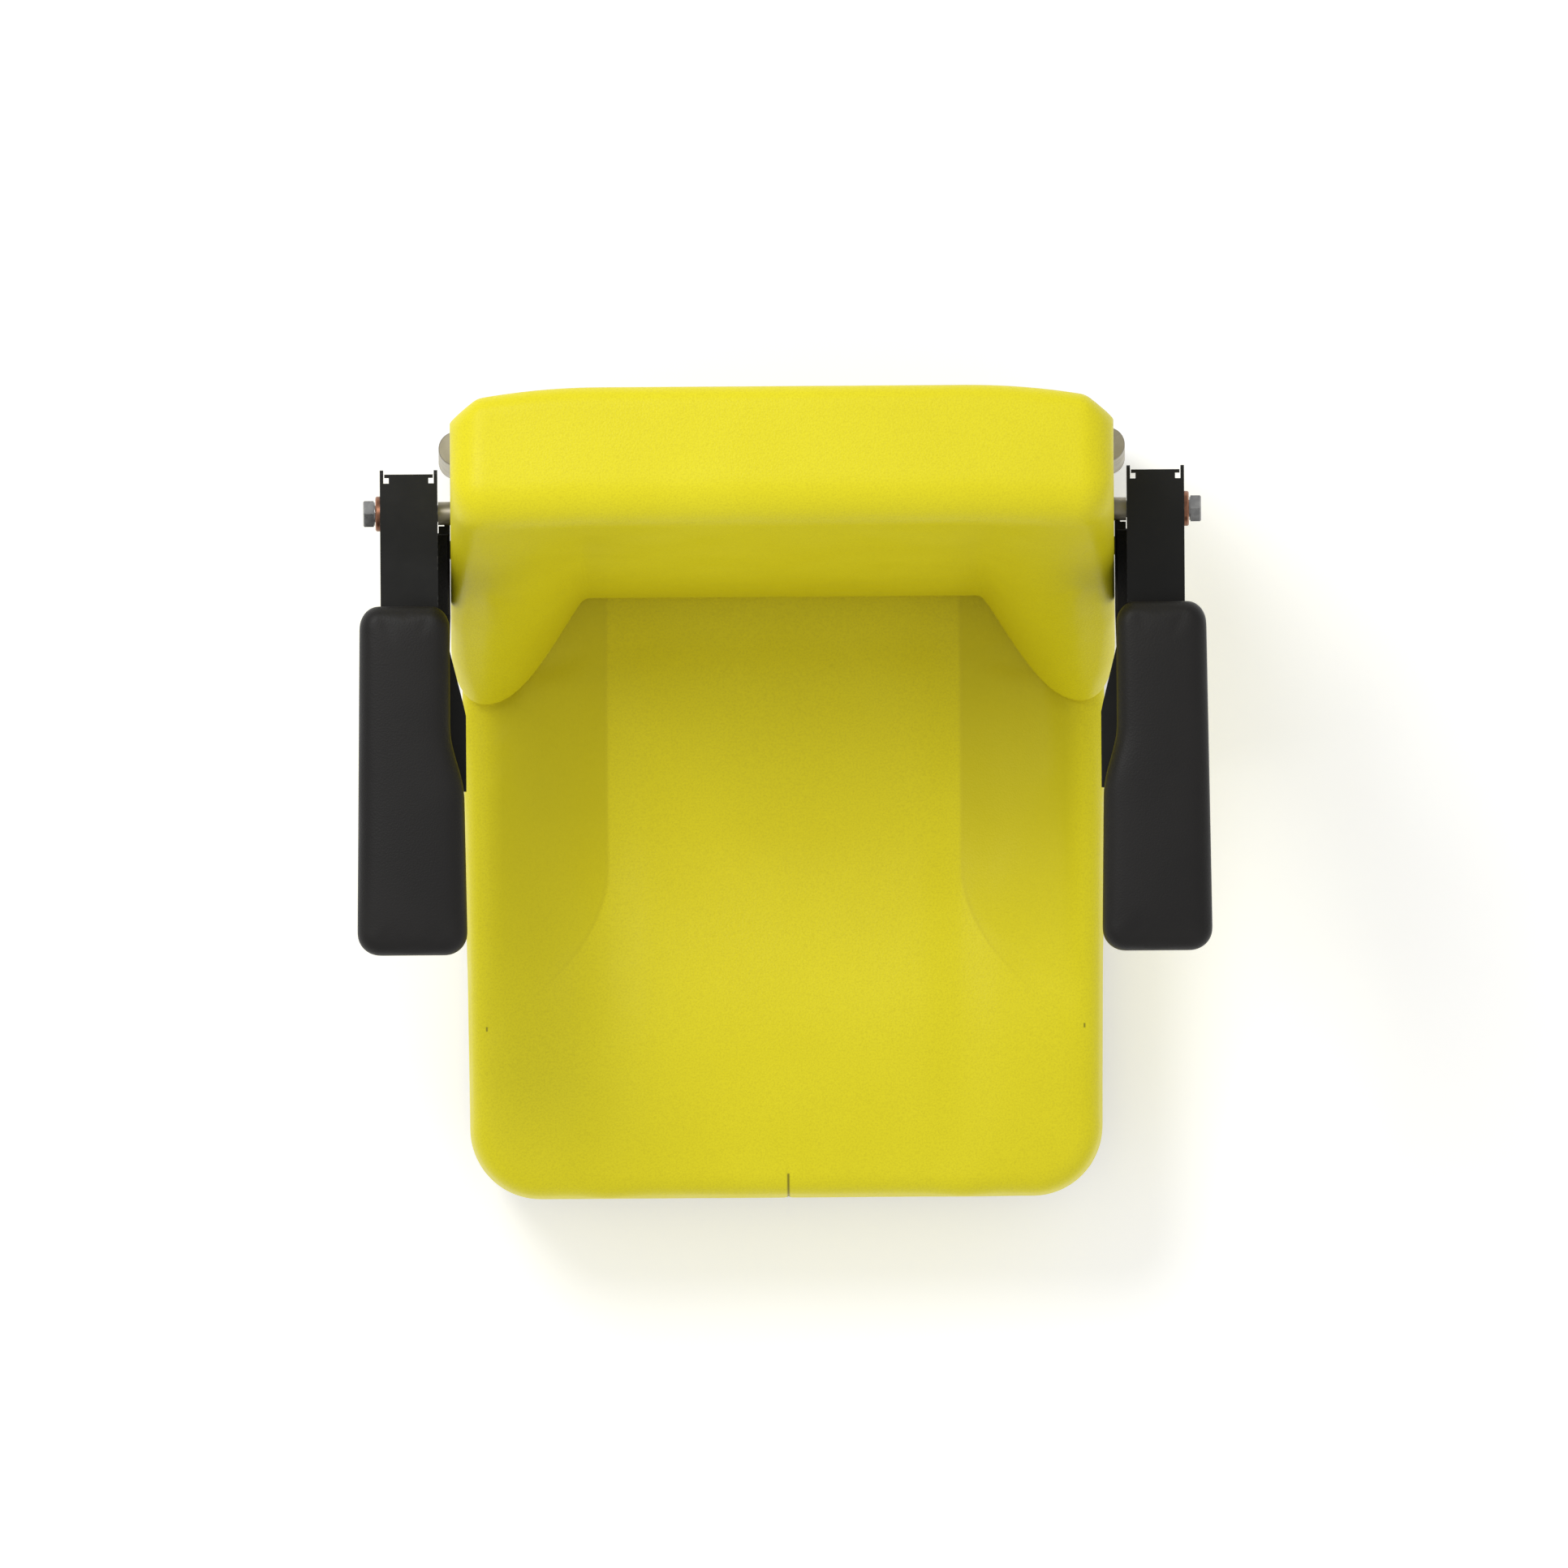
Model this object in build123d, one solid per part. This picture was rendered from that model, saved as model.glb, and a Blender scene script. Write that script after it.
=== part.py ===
from build123d import *
import math
import os

# Vehicle seat with flip-up armrests, on a pair of slide rails. Millimetres, +Z up.
# The origin is the middle of the floor bolts on the mounting plane. The sitter faces -Y, so +X is the
# sitter's left. Distances "ahead" are measured forwards, towards -Y, from the armrest pivot line.

# Armrest pivot line, and the lean of the backrest
pivot_y = 170.0
pivot_z = 345.0
back_lean = 9.0

# Floor fixing and slide rails
bolt_spacing_x = 310.0
bolt_spacing_y = 270.0
bolt_hole_radius = 4.5
bar_overhang = 20.0
bar_width = 40.0
bar_thick = 4.0
rail_x = 115.0
rail_length = 340.0
rail_width = 44.0
rail_height = 16.0
rail_wall = 2.5
rail_lip = 8.0
slide_travel = 60.0
stop_block = 8.0
slider_gap = 3.0
slider_wall = 3.0
slider_side_gap = 2.0
slider_rise = 12.0
glide_play = 0.3
glide_length = 26.0
latch_pitch = 20.0

# Seat pan and seat cushion
pan_sheet = 2.5
pan_rim = 10.0
pan_inset = 14.5
pan_corner = 40.0
pan_tail = 56.0
cushion_width = 457.0
cushion_nose_width = 449.0
cushion_nose = 488.0
cushion_tail = 5.0
cushion_thick = 110.5
cushion_corner = 50.0
cushion_roll = 15.6
panel_width = 252.0
dish_depth = 13.0
dish_margin = 16.5
dish_flat_end = 254.0
dish_end = 372.0

# Backrest
back_width = 472.0
back_thick = 96.0
back_height = 356.0
back_top_front = 6.0
back_top_round = 30.0
back_rear_round = 14.0
back_side_round = 24.0
back_corner = 20.0
wing_reach = 77.0
wing_inner = 140.0
seat_back_gap = 0.5

# Backrest support: pressed back pan, cross beam and two posts
back_pan_inset = 31.0
back_pan_drop = 70.0
back_pan_corner = 30.0
back_pan_sheet = 3.0
back_pan_flange = 12.0
ear_reach = 26.0
beam_size = 30.0
beam_wall = 2.5
post_radius = 12.0
post_wall = 2.0
post_inset = 4.0
post_top_z = 255.0
post_behind = 46.0
post_lean = 2.5
post_gap = 0.8
post_cap_thick = 3.0
tab_thick = 4.0

# Armrests
arm_gap = 9.0
channel_width = 41.0
channel_sheet = 2.6
channel_top = 20.0
channel_drop = 18.0
channel_tail = 31.0
channel_front = 296.0
pad_tail = 66.0
pad_front = 314.0
pad_thick = 44.0
pad_outer_tail = 14.8
pad_outer_front = 18.0
pad_inner_front = 19.2
pad_clear = 1.2
pad_corner = 16.0
bolt_radius = 6.0
bush_wall = 1.95
bush_flange_radius = 12.5
bush_flange_thick = 3.2
running_clearance = 0.05
body_gap = 0.3
hex_m12 = 18.5
hex_m8 = 13.0
m8_radius = 4.0
fit_slack = 0.3

# Slide lever
lever_thick = 4.0
lever_width = 12.0
lever_offset = 14.0
lever_pivot_y = 20.0
tooth_ahead = 35.0
tooth_width = 8.0

# Levels and places that follow from the sizes above
rail_base_z = bar_thick
rail_top_z = rail_base_z + rail_height
slider_foot_z = rail_base_z + rail_wall + slider_gap
slider_half = rail_width / 2 - rail_lip - slider_side_gap
slider_foot = rail_width / 2 - rail_wall - 1.0
pan_z = rail_top_z + slider_rise
cushion_z = pan_z + pan_sheet
cushion_top_z = cushion_z + cushion_thick
back_half = back_width / 2
back_pan_half = back_half - back_pan_inset
back_bottom_z = cushion_top_z + seat_back_gap
lean = math.radians(back_lean)
back_top_z = cushion_top_z + back_height
rear_top_z = back_top_z - back_thick * math.sin(lean)
rear_top_ahead = back_top_front - back_thick * math.cos(lean)
channel_in = back_half + arm_gap
channel_out = channel_in + channel_width
channel_mid = (channel_in + channel_out) / 2
bush_radius = bolt_radius + running_clearance + bush_wall
boss_radius = bush_radius + 0.25
beam_top_z = cushion_z + beam_size
post_x = back_half - post_inset
post_foot_ahead = -post_behind + (post_top_z - beam_top_z + beam_size / 2) * math.tan(math.radians(post_lean))
rail_out_x = rail_x + rail_width / 2
slider_length = rail_length - 2 * (stop_block + slide_travel) - 1.0
lever_z = rail_base_z + rail_height / 2
tooth_y = lever_pivot_y - tooth_ahead


def ahead(distance):
    return pivot_y - distance


def block(x0, x1, y0, y1, z0, z1):
    size = Box(x1 - x0, abs(y1 - y0), z1 - z0)
    return Pos((x0 + x1) / 2, (y0 + y1) / 2, (z0 + z1) / 2) * size


def rod_x(radius, x0, x1, y, z):
    return Pos((x0 + x1) / 2, y, z) * Rot(0, 90, 0) * Cylinder(radius, x1 - x0)


def rod_z(radius, z0, z1, x, y):
    return Pos(x, y, (z0 + z1) / 2) * Cylinder(radius, z1 - z0)


def hexagon(across_flats, thick):
    return extrude(RegularPolygon(across_flats / 2, 6, major_radius=False), thick)


def hex_x(across_flats, x0, x1, y, z):
    return Pos(x0, y, z) * Rot(0, 90, 0) * hexagon(across_flats, x1 - x0)


def hex_z(across_flats, z0, z1, x, y):
    return Pos(x, y, z0) * hexagon(across_flats, z1 - z0)


def flipped(shape):
    if isinstance(shape, Compound) and len(shape.solids()) > 1:
        return group(mirror(solid, about=Plane.YZ) for solid in shape.solids())
    return mirror(shape, about=Plane.YZ)


def both_sides(shape):
    return shape + flipped(shape)


def group(shapes):
    return Compound(children=list(shapes))


def outline(points):
    return make_face(Polyline(*points, close=True))


def at_height(z):
    # Forward positions of the backrest's front and rear faces at a height
    front = back_top_front + (back_top_z - z) * math.tan(lean)
    return front, front - back_thick / math.cos(lean)


# The backrest's own frame: origin on its top rear edge, -Y forwards through it, +Z up along it
back_frame = Pos(0, ahead(rear_top_ahead), rear_top_z) * Rot(-back_lean, 0, 0)


def in_back(y, z):
    # A world point in the backrest's frame, as depth from the rear face and height below the top edge
    dy = y - ahead(rear_top_ahead)
    dz = z - rear_top_z
    depth = -dy * math.cos(lean) + dz * math.sin(lean)
    rise = dy * math.sin(lean) + dz * math.cos(lean)
    return depth, rise


pivot_depth, pivot_rise = in_back(pivot_y, pivot_z)
bottom_rise = in_back(ahead(at_height(back_bottom_z)[1]), back_bottom_z)[1]


def back_block(x0, x1, depth0, depth1, rise0, rise1):
    return back_frame * block(x0, x1, -depth1, -depth0, rise0, rise1)


def back_rod(radius, x, rise, depth0, depth1):
    across = Rot(90, 0, 0) * Cylinder(radius, depth1 - depth0)
    return back_frame * Pos(x, -(depth0 + depth1) / 2, rise) * across


def back_hex(x, rise, depth0, depth1):
    return back_frame * Pos(x, -depth0, rise) * Rot(90, 0, 0) * hexagon(hex_m8, depth1 - depth0)


# ---- base: two floor bars and two open slide rails


def floor_bar(y):
    half = bolt_spacing_x / 2 + bar_overhang
    bar = block(-half, half, y - bar_width / 2, y + bar_width / 2, 0, bar_thick)
    bar = fillet(bar.edges().filter_by(Axis.Z), bar_width / 3)
    for side in (-1, 1):
        bar -= rod_z(bolt_hole_radius, -1, bar_thick + 1, side * bolt_spacing_x / 2, y)
        bar -= rod_z(m8_radius + fit_slack, -1, bar_thick + 1, side * rail_x, y)
    return bar


def lower_rail(x, latched):
    half = rail_width / 2
    end = rail_length / 2
    rail = block(x - half, x + half, -end, end, rail_base_z, rail_top_z)
    inside = half - rail_wall
    rail -= block(x - inside, x + inside, -end - 1, end + 1, rail_base_z + rail_wall, rail_top_z - rail_wall)
    slot = half - rail_lip
    rail -= block(x - slot, x + slot, -end - 1, end + 1, rail_top_z - rail_wall - 1, rail_top_z + 1)
    for y in (-bolt_spacing_y / 2, bolt_spacing_y / 2):
        rail -= rod_z(m8_radius + fit_slack, rail_base_z - 1, rail_base_z + rail_wall + 1, x, y)
    if latched:
        steps = round(slide_travel / latch_pitch)
        low = lever_z - lever_thick / 2 - 0.5
        for step in range(-steps, steps + 1):
            y = tooth_y + step * latch_pitch
            width = tooth_width / 2 + 0.5
            rail -= block(x + inside - 1, x + half + 1, y - width, y + width, low, low + lever_thick + 1)
    return rail


def rail_rivets():
    shapes = []
    for x in (-rail_x, rail_x):
        for y in (-bolt_spacing_y / 2, bolt_spacing_y / 2):
            head = rail_base_z + rail_wall
            shapes.append(rod_z(m8_radius, 0.2, head, x, y) + rod_z(6.5, head, head + 2.2, x, y))
    return group(shapes)


def rail_end_stops():
    shapes = []
    half = rail_width / 2 - rail_wall
    end = rail_length / 2
    for x in (-rail_x, rail_x):
        for side in (-1, 1):
            y0 = side * (end - stop_block)
            shapes.append(block(x - half, x + half, y0, side * end,
                                rail_base_z + rail_wall, rail_top_z - rail_wall))
    return group(shapes)


# ---- sliding part: hat-section sliders with plastic glides, seat pan and its bolts


def slider(x):
    end = slider_length / 2
    shape = block(x - slider_half, x + slider_half, -end, end, pan_z - slider_wall, pan_z)
    for side in (-1, 1):
        inner, outer = sorted((x + side * (slider_half - slider_wall), x + side * slider_half))
        shape += block(inner, outer, -end, end, slider_foot_z, pan_z - slider_wall)
        inner, outer = sorted((x + side * slider_half, x + side * slider_foot))
        shape += block(inner, outer, -end, end, slider_foot_z, slider_foot_z + slider_wall)
    for y in slider_bolt_places():
        shape -= rod_z(m8_radius + fit_slack, pan_z - slider_wall - 1, pan_z + 1, x, y)
    return shape


def slider_bolt_places():
    reach = slider_length / 2 - 20.0
    return (-reach, reach)


def glides(x):
    shapes = []
    for side in (-1, 1):
        for end in (-1, 1):
            y0 = end * (slider_length / 2 - glide_length - 2.0)
            y1 = end * (slider_length / 2 - 2.0)
            low, high = sorted((x + side * (slider_half + 0.5), x + side * (rail_width / 2 - rail_wall - glide_play)))
            pad = block(low, high, y0, y1, rail_base_z + rail_wall + glide_play, rail_top_z - rail_wall - glide_play)
            low, high = sorted((x + side * (slider_half - 1), x + side * slider_foot))
            pad -= block(low, high, y0 - end, y1 + end, slider_foot_z, slider_foot_z + slider_wall)
            shapes.append(pad)
    return group(shapes)


def pan_outline(inset):
    half = cushion_width / 2 - pan_inset - inset
    y0 = ahead(cushion_nose - pan_inset - inset)
    y1 = ahead(-pan_tail + inset)
    sheet = Rectangle(2 * half, y1 - y0)
    return Pos(0, (y0 + y1) / 2) * fillet(sheet.vertices(), pan_corner - inset)


def beam_bolt_places():
    return [(x, ahead(post_foot_ahead)) for x in (-180.0, -60.0, 60.0, 180.0)]


def pan_bolt_places():
    return [(x, y) for x in (-rail_x, rail_x) for y in slider_bolt_places()]


def seat_pan():
    pan = Pos(0, 0, pan_z - pan_rim) * extrude(pan_outline(0), pan_rim + pan_sheet)
    pan -= Pos(0, 0, pan_z - pan_rim - 1) * extrude(pan_outline(pan_sheet), pan_rim + 1)
    for x, y in beam_bolt_places() + pan_bolt_places():
        pan -= rod_z(m8_radius + fit_slack, pan_z - 1, cushion_z + 1, x, y)
    pan -= rod_z(m8_radius + fit_slack, pan_z - 1, cushion_z + 1, lever_x, lever_pivot_y)
    for y in (-150.0, 0.0, 120.0):
        pan -= rod_z(12.0, pan_z - 1, cushion_z + 1, 0, y)
    return pan


def pan_bolts():
    shapes = []
    for x, y in pan_bolt_places():
        under = pan_z - slider_wall
        shapes.append(hex_z(hex_m8, under - 5.3, under, x, y) + rod_z(m8_radius, under, cushion_z + 8, x, y))
    return group(shapes)


def pan_nuts():
    shapes = []
    for x, y in pan_bolt_places():
        nut = hex_z(hex_m8, cushion_z, cushion_z + 6.5, x, y)
        shapes.append(nut - rod_z(m8_radius + 0.05, cushion_z - 1, cushion_z + 8, x, y))
    return group(shapes)


# ---- seat cushion: tapered block with a rolled rim and a dished middle


def seat_cushion():
    rear = cushion_width / 2
    nose = cushion_nose_width / 2
    y0 = ahead(cushion_nose)
    y1 = ahead(-cushion_tail)
    sheet = outline([(-nose, y0), (nose, y0), (rear, y1), (-rear, y1)])
    sheet = fillet(sheet.vertices().group_by(Axis.Y)[0], cushion_corner)
    sheet = fillet(sheet.vertices().group_by(Axis.Y)[-1], cushion_corner / 2)
    body = Pos(0, 0, cushion_z) * extrude(sheet, cushion_thick)
    body = fillet(body.faces().sort_by(Axis.Z)[-1].edges(), cushion_roll)
    body = fillet(body.faces().sort_by(Axis.Z)[0].edges(), cushion_roll / 2)
    body -= seat_dish()
    for x, y in pan_bolt_places():
        body -= rod_z(hex_m8 / 2 + 2, cushion_z - 1, cushion_z + 9, x, y)
    return body - rod_z(hex_m8 / 2 + 2, cushion_z - 1, cushion_z + 8, lever_x, lever_pivot_y)


def seat_dish():
    rim = cushion_nose_width / 2 - dish_margin
    start = at_height(back_bottom_z)[0]

    def section(distance, depth):
        low = panel_width / 2
        points = [(-rim, cushion_top_z + 1), (rim, cushion_top_z + 1), (rim, cushion_top_z - min(depth, 0.5)),
                  (low, cushion_top_z - depth), (-low, cushion_top_z - depth),
                  (-rim, cushion_top_z - min(depth, 0.5))]
        return Plane.XZ.offset(-ahead(distance)) * outline(points)

    sections = [section(start, dish_depth), section(dish_flat_end, dish_depth), section(dish_end, 0.3)]
    return loft(sections[:2], ruled=True) + loft(sections[1:], ruled=True)


# ---- backrest: leaning slab whose side wings swing forward towards the seat


def wing_share(z):
    # 1 where the wings meet the seat, falling to 0 at the top
    return max(0.0, (back_top_z - z) / back_height) ** 1.6


def backrest_section(z):
    front, rear = at_height(z)
    share = wing_share(z)
    tip = front + wing_reach * share + 1.0
    half = back_half
    points = [
        (half - 106, rear),
        (half - back_corner, rear + 8),
        (half, rear + back_corner + 3),
        (half, tip - 16 - 25 * share),
        (half - 7, tip - 6 - 6 * share),
        (half - 25, tip),
        (half - 56, front + 0.5 + 0.62 * wing_reach * share),
        (wing_inner, front),
    ]
    right = [(x, ahead(f)) for x, f in points]
    left = [(-x, y) for x, y in reversed(right)]
    return Pos(0, 0, z) * outline(right + left)


def backrest_blank():
    span = back_height + 20.0
    levels = [back_bottom_z + span * share for share in (0, 0.14, 0.3, 0.5, 0.74, 1.0)]
    sections = [backrest_section(z) for z in levels]
    blank = loft(sections[:2], ruled=True)
    for low, high in zip(sections[1:], sections[2:]):
        blank += loft([low, high], ruled=True)
    return blank & back_frame * side_profile() & back_frame * front_profile()


def side_profile():
    # Rounds the top front and top rear edges, seen from the side
    deep = back_thick + 0.4
    low = bottom_rise - 60
    with BuildLine() as line:
        Line((back_rear_round - 0.4, 0), (deep - back_top_round, 0))
        RadiusArc((deep - back_top_round, 0), (deep, -back_top_round), back_top_round)
        Polyline((deep, -back_top_round), (deep + 150, bottom_rise / 2), (deep + 150, low), (-0.4, low),
                 (-0.4, -back_rear_round))
        RadiusArc((-0.4, -back_rear_round), (back_rear_round - 0.4, 0), back_rear_round)
    sheet = make_face(line.line)
    side = Plane(origin=(0, 0, 0), x_dir=(0, -1, 0), z_dir=(-1, 0, 0))
    return extrude(side * sheet, back_width, both=True)


def front_profile():
    # Rounds the two top corners, seen from the front
    tall = -bottom_rise + 60
    half = back_half + 0.2
    sheet = Pos(0, -tall / 2) * Rectangle(2 * half, tall)
    sheet = fillet(sheet.vertices().group_by(Axis.Y)[-1], back_side_round)
    return extrude(Plane.XZ * sheet, 400, both=True)


def back_tray(inset, depth0, depth1):
    # Rounded plate across the backrest's rear, from its lower edge to the drop below the top
    low = bottom_rise + 12 + inset
    top = -back_pan_drop - inset
    half = back_pan_half - inset
    sheet = Pos(0, (low + top) / 2) * RectangleRounded(2 * half, top - low, back_pan_corner - inset)
    return back_frame * Pos(0, -depth0, 0) * extrude(Plane.XZ * sheet, depth1 - depth0)


def back_pan():
    half = back_pan_half
    skin = back_pan_sheet
    pan = back_tray(0, -skin, back_pan_flange) - back_tray(skin, 0, back_pan_flange + 1)
    ear = back_block(half - skin, half, 0, pivot_depth + ear_reach, pivot_rise - 82, pivot_rise + 22)
    ear -= rod_x(bolt_radius + fit_slack, half - skin - 1, half + 1, pivot_y, pivot_z)
    for y, z in bracket_bolt_places():
        ear -= rod_x(m8_radius + fit_slack, half - skin - 1, half + 1, y, z)
    pan += both_sides(ear)
    for x, rise in back_bolt_places():
        pan -= back_rod(m8_radius + fit_slack, x, rise, -skin - 1, 1)
    return pan


def backrest_cushion(pan):
    body = backrest_blank() - pan
    inner = back_pan_half - back_pan_sheet
    holes = rod_x(boss_radius + fit_slack, back_pan_half - 1, back_half + 5, pivot_y, pivot_z)
    holes += rod_x(12.0, inner - 15, back_pan_half, pivot_y, pivot_z)
    for y, z in bracket_bolt_places():
        holes += rod_x(6.5 + fit_slack, back_pan_half - 1, back_half + 5, y, z)
        holes += rod_x(8.5, inner - 10, back_pan_half, y, z)
    body -= both_sides(holes + post_frame * Cylinder(post_radius + post_gap, 2 * back_height))
    for x, rise in back_bolt_places():
        body -= back_rod(8.5, x, rise, -0.5, 12)
    return body


def back_bolt_places():
    low = bottom_rise + 30
    return [(side * (post_x - 44), low + step) for side in (-1, 1) for step in (0, 40)]


def back_bolts():
    shapes = []
    for x, rise in back_bolt_places():
        seat = -back_pan_sheet - tab_thick
        shapes.append(back_hex(x, rise, seat - 5.3, seat) + back_rod(m8_radius, x, rise, seat, 8))
    return group(shapes)


def back_nuts():
    return group(back_hex(x, rise, 0, 6.5) - back_rod(m8_radius + 0.05, x, rise, -1, 8)
                 for x, rise in back_bolt_places())


# ---- cross beam, posts and tabs that carry the backrest


def cross_beam():
    # Square tube that ends on the posts, its side walls running past them on both sides
    y = ahead(post_foot_ahead)
    reach = beam_size / 2
    beam = block(-post_x, post_x, y - reach, y + reach, cushion_z, beam_top_z)
    inside = reach - beam_wall
    beam -= block(-post_x - 1, post_x + 1, y - inside, y + inside, cushion_z + beam_wall, beam_top_z - beam_wall)
    beam -= both_sides(post_blank())
    for x, y in beam_bolt_places():
        beam -= rod_z(m8_radius + fit_slack, cushion_z - 1, beam_top_z + 1, x, y)
    return beam


def beam_bolts():
    shapes = []
    for x, y in beam_bolt_places():
        shapes.append(hex_z(hex_m8, pan_z - 5.3, pan_z, x, y) + rod_z(m8_radius, pan_z, beam_top_z + 8, x, y))
    return group(shapes)


def beam_nuts():
    shapes = []
    for x, y in beam_bolt_places():
        nut = hex_z(hex_m8, beam_top_z, beam_top_z + 6.5, x, y)
        shapes.append(nut - rod_z(m8_radius + 0.05, beam_top_z - 1, beam_top_z + 8, x, y))
    return group(shapes)


post_frame = Pos(post_x, ahead(-post_behind), post_top_z) * Rot(-post_lean, 0, 0)


def post_blank():
    length = (post_top_z - cushion_z) / math.cos(math.radians(post_lean)) + 5
    blank = post_frame * Pos(0, 0, -length / 2) * Cylinder(post_radius, length)
    return blank - block(post_x - 40, post_x + 40, ahead(20), ahead(-100), cushion_z - 20, cushion_z)


def post():
    length = post_top_z - cushion_z + 20
    bore = post_frame * Pos(0, 0, -length / 2 - post_cap_thick) * Cylinder(post_radius - post_wall, length)
    lid = post_frame * Pos(0, 0, 5 - post_cap_thick) * Cylinder(post_radius + 5, 10)
    return post_blank() - bore - lid


def post_cap():
    lid = post_frame * Pos(0, 0, -post_cap_thick / 2) * Cylinder(post_radius, post_cap_thick)
    spigot_length = 8.0
    place = -post_cap_thick - spigot_length / 2
    lid = chamfer(lid.edges().group_by(Axis.Z)[-1], 0.6)
    return lid + post_frame * Pos(0, 0, place) * Cylinder(post_radius - post_wall - 0.1, spigot_length)


def back_tab():
    low = bottom_rise + 12
    skin = back_pan_sheet
    tab = back_block(post_x - 60, post_x - 2, -skin - tab_thick, -skin, low, low + 76)
    tab -= post_blank()
    for x, rise in back_bolt_places():
        if x > 0:
            tab -= back_rod(m8_radius + fit_slack, x, rise, -skin - tab_thick - 1, 1)
    return tab


# ---- pivot boss, bolt and nut, and the ledge that the armrest rests on


def pivot_boss():
    boss = rod_x(boss_radius, back_pan_half, channel_in - body_gap, pivot_y, pivot_z)
    return boss - rod_x(bolt_radius + 0.1, back_pan_half - 1, channel_in + 1, pivot_y, pivot_z)


def pivot_bolt():
    head = channel_out + bush_flange_thick + body_gap
    nut = back_pan_half - back_pan_sheet
    bolt = rod_x(bolt_radius, nut - 11, head, pivot_y, pivot_z)
    bolt += rod_x(8.4, head, head + 0.8, pivot_y, pivot_z)
    cap = hex_x(hex_m12, head + 0.8, head + 8.4, pivot_y, pivot_z)
    return bolt + chamfer(cap.edges().group_by(Axis.X)[-1], 0.8)


def pivot_nut():
    seat = back_pan_half - back_pan_sheet
    nut = hex_x(hex_m12, seat - 10, seat, pivot_y, pivot_z)
    return nut - rod_x(bolt_radius + 0.05, seat - 12, seat + 1, pivot_y, pivot_z)


stop_pad_thick = 3.0
ledge_thick = 4.0
ledge_tail = 14.0
ledge_front = 74.0
guard_front = 198.0
guard_lap = 6.0
ledge_z = pivot_z - channel_drop - body_gap - stop_pad_thick


def bracket_bolt_places():
    return [(ahead(26.0), ledge_z - 18), (ahead(26.0), ledge_z - 46)]


def wing_guard():
    # Tongue in front of the ledge, under the pad, that closes the gap beside the backrest's wing
    inner = channel_in - pad_inner_front
    outer = channel_in + guard_lap
    plan = [(back_half + body_gap, ledge_front), (back_half + 1, 98), (back_half - 5, 122), (inner + 1.5, 137),
            (inner, 144), (inner, guard_front), (outer, guard_front), (outer, ledge_front)]
    return Pos(0, 0, ledge_z - ledge_thick) * extrude(outline([(x, ahead(f)) for x, f in plan]), ledge_thick)


def stop_bracket():
    face = back_half + body_gap
    leg = [(8, ledge_z), (ledge_front, ledge_z), (ledge_front, ledge_z - 14), (44, ledge_z - 62), (8, ledge_z - 62)]
    side = Plane(origin=(face, 0, 0), x_dir=(0, 1, 0), z_dir=(1, 0, 0))
    plate = extrude(side * outline([(ahead(f), z) for f, z in leg]), ledge_thick)
    plate += block(face, channel_out, ahead(ledge_front), ahead(ledge_tail), ledge_z - ledge_thick, ledge_z)
    plate += block(face, channel_in - 2 * body_gap, ahead(ledge_tail), ahead(9), ledge_z - ledge_thick, ledge_z)
    plate += wing_guard()
    for y, z in bracket_bolt_places():
        plate -= rod_x(m8_radius + fit_slack, face - 1, face + ledge_thick + 1, y, z)
    return plate


def stop_pad():
    x0 = back_half + body_gap + 1
    pad = block(x0, channel_out - 1, ahead(ledge_front - 2), ahead(ledge_tail + 0.5), ledge_z, ledge_z + stop_pad_thick)
    return chamfer(pad.edges().group_by(Axis.Z)[-1], 0.8)


def bracket_sleeves():
    face = back_half + body_gap
    return group(rod_x(6.5, back_pan_half, face, y, z) - rod_x(m8_radius + 0.1, back_pan_half - 1, face + 1, y, z)
                 for y, z in bracket_bolt_places())


def bracket_bolts():
    seat = back_half + body_gap + ledge_thick
    shapes = []
    for y, z in bracket_bolt_places():
        head = rod_x(6.8, seat, seat + 3.6, y, z)
        head = fillet(head.edges().group_by(Axis.X)[-1], 2.0)
        head -= hex_x(5.0, seat + 1.6, seat + 5, y, z)
        shapes.append(head + rod_x(m8_radius, back_pan_half - back_pan_sheet - 8, seat, y, z))
    return group(shapes)


def bracket_nuts():
    seat = back_pan_half - back_pan_sheet
    return group(hex_x(hex_m8, seat - 6.5, seat, y, z) - rod_x(m8_radius + 0.05, seat - 8, seat + 1, y, z)
                 for y, z in bracket_bolt_places())


# ---- armrest: channel, flanged bush, pad, pad plate and screws


def arm_channel():
    top = pivot_z + channel_top
    under = top - channel_sheet
    low = pivot_z - channel_drop
    sheet = channel_sheet
    side = [(-channel_tail, top), (-channel_tail, pivot_z - 2), (-5, low), (ledge_front, low),
            (channel_front, pivot_z + 2), (channel_front, top)]
    place = Plane(origin=(channel_in, 0, 0), x_dir=(0, 1, 0), z_dir=(1, 0, 0))
    flange = extrude(place * outline([(ahead(f), z) for f, z in side]), sheet)
    flange = fillet(flange.edges().filter_by(Axis.X).group_by(Axis.Y)[-1].sort_by(Axis.Z)[-1:], 3)
    flange -= rod_x(bush_radius + 0.05, channel_in - 1, channel_out + 1, pivot_y, pivot_z)
    channel = flange + Pos(channel_width - sheet, 0, 0) * flange
    neck_tail = channel_tail - 3 - sheet
    web_tail = neck_tail - 3.8
    channel += block(channel_in, channel_out, ahead(channel_front), ahead(-web_tail), under, top)
    neck = sheet + 3.8
    channel += block(channel_in + neck, channel_out - neck, ahead(-web_tail + 1), ahead(-neck_tail), under, top)
    lip = sheet + 0.6
    tail = neck_tail + sheet
    channel += block(channel_in + lip, channel_out - lip, ahead(-neck_tail), ahead(-tail), top - 14, top)
    for y in pad_screw_places():
        channel -= rod_z(m8_radius + fit_slack, under - 1, top + 1, channel_mid, y)
    return channel


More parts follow.
